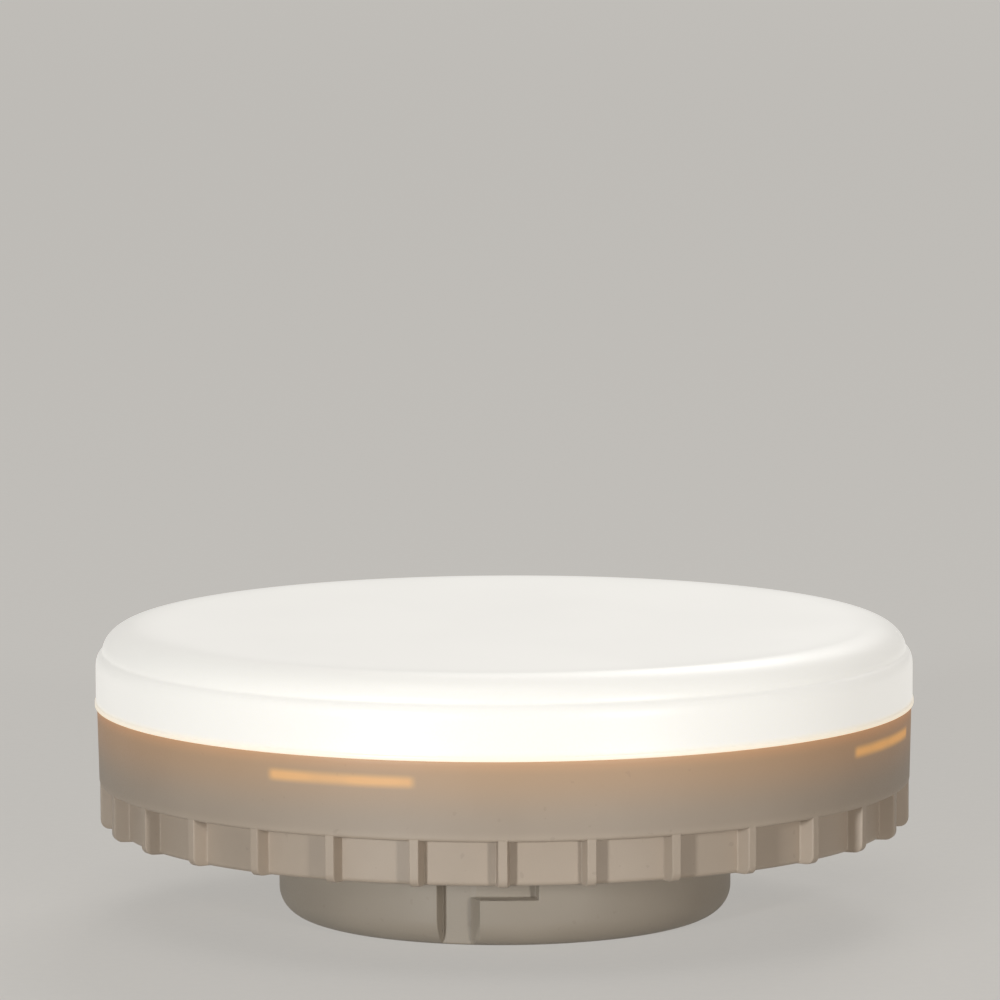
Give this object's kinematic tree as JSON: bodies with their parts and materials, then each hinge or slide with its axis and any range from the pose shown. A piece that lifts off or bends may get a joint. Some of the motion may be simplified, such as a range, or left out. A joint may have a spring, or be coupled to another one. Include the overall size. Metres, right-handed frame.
{
  "type": "led disc lamp",
  "caption": "Disc-shaped LED lamp with a two-pin twist-and-lock hub, ribbed plastic housing and clip-in opal cover.",
  "frame": {"origin": "centre of the hub's flat face, on which the lamp rests", "axes": "+Z along the lamp's axis towards the lit face, +X through the right contact pin, -Y towards the front bayonet groove"},
  "size_m": [0.0752, 0.0752, 0.0268],
  "materials": {
    "housing_plastic": "satin moulded",
    "opal_cover": "translucent opal, lit from inside",
    "spreader_aluminium": "rolled",
    "pad_silicone": "matte",
    "board_white": "white solder mask",
    "led_phosphor": "moulded",
    "terminal_nylon": "moulded",
    "screw_steel": "zinc plated",
    "pin_metal": "turned",
    "film_polyester": "clear yellowish",
    "board_green": "solder mask",
    "can_sleeve": "shrunk sleeve",
    "film_cap_epoxy": "dipped",
    "ferrite": "ground",
    "resistor_coat": "flameproof coat",
    "bobbin_plastic": "moulded",
    "winding_tape": "polyester tape",
    "chip_epoxy": "moulded",
    "chip_ceramic": "fired",
    "wire_blue": "extruded",
    "wire_brown": "extruded",
    "wire_red": "extruded",
    "wire_black": "extruded"
  },
  "bodies": {
    "root": {"housing": "housing_plastic", "diffuser": "opal_cover", "heat_spreader": "spreader_aluminium", "thermal_pad": "pad_silicone", "led_board": "board_white", "led_packages": "led_phosphor", "lamp_terminal": "terminal_nylon", "board_screws": "screw_steel", "contact_pin_left": "pin_metal", "contact_pin_right": "pin_metal", "pin_washers": "screw_steel", "insulating_film": "film_polyester", "driver_board": "board_green", "input_capacitor": "can_sleeve", "output_capacitor": "can_sleeve", "film_capacitor": "film_cap_epoxy", "filter_choke": "ferrite", "fusible_resistor": "resistor_coat", "transformer_core": "ferrite", "transformer_bobbin": "bobbin_plastic", "transformer_winding": "winding_tape", "bridge_rectifier": "chip_epoxy", "control_chip": "chip_epoxy", "chip_resistors": "chip_epoxy", "chip_capacitors": "chip_ceramic", "pin_wire_left": "wire_blue", "pin_wire_right": "wire_brown", "lamp_wire_positive": "wire_red", "lamp_wire_negative": "wire_black"}
  },
  "joints": []
}
